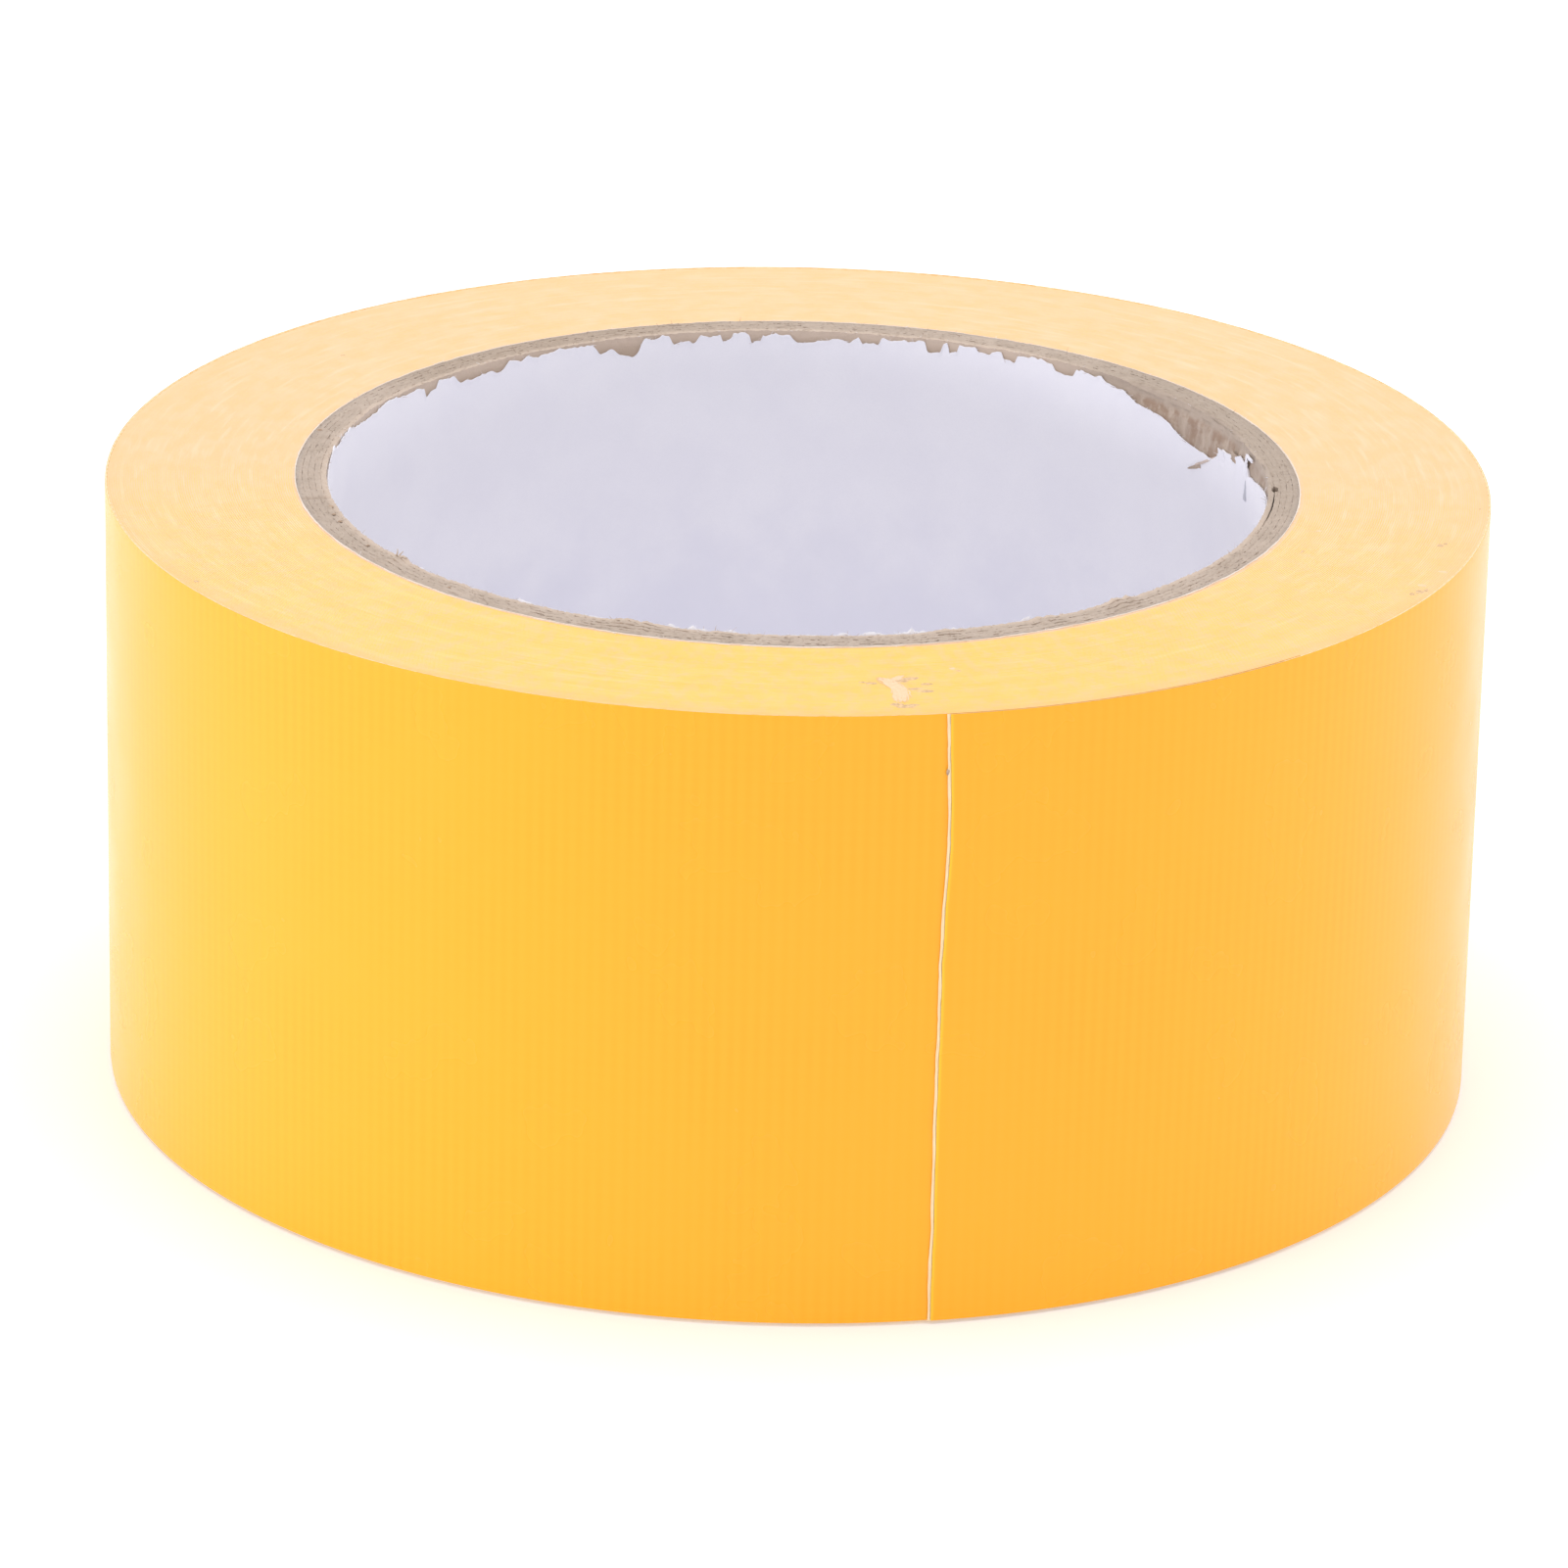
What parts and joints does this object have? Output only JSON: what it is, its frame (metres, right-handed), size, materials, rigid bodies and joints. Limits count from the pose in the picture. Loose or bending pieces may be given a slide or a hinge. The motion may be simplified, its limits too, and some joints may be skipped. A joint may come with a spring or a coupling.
{
  "type": "masking tape roll",
  "caption": "Roll of cloth masking tape on a spiral-wound paper core, with a loose end that peels away from the roll.",
  "frame": {"origin": "centre of the bore at the roll's lower side face", "axes": "+Z along the bore, out of the roll's upper side face; the tape's cut end faces 78 degrees clockwise from +X, seen from above"},
  "size_m": [0.1123, 0.1122, 0.05],
  "materials": {
    "white_paper": "smooth white paper, slightly sheened",
    "grey_board": "raw cut edge of grey-brown recycled board",
    "tape_edges": "cut edges of many thin turns, with white yarn ends",
    "yellow_film": "semi-gloss film over faint yarn lines",
    "cloth": "white flat yarns",
    "adhesive": "tacky, slightly wet gloss"
  },
  "bodies": {
    "roll": {"core_liner": "white_paper", "core_ply_1": "grey_board", "core_ply_2": "grey_board", "core_ply_3": "grey_board", "core_ply_4": "grey_board", "core_ply_5": "grey_board", "core_wrap": "white_paper", "wound_tape": "tape_edges", "last_turn_film": "yellow_film", "last_turn_cloth": "cloth", "last_turn_adhesive": "adhesive"},
    "tape_end": {"tape_end_film": "yellow_film", "tape_end_weft_yarns": "cloth", "tape_end_warp_yarns": "cloth", "tape_end_adhesive": "adhesive"}
  },
  "joints": [
    {"name": "tape_end_peel", "type": "hinge", "parent": "roll", "child": "tape_end", "pos_m": [0.03762, -0.04181, 0.025], "axis": [0, 0, 1], "range_deg": [0, 150]}
  ]
}
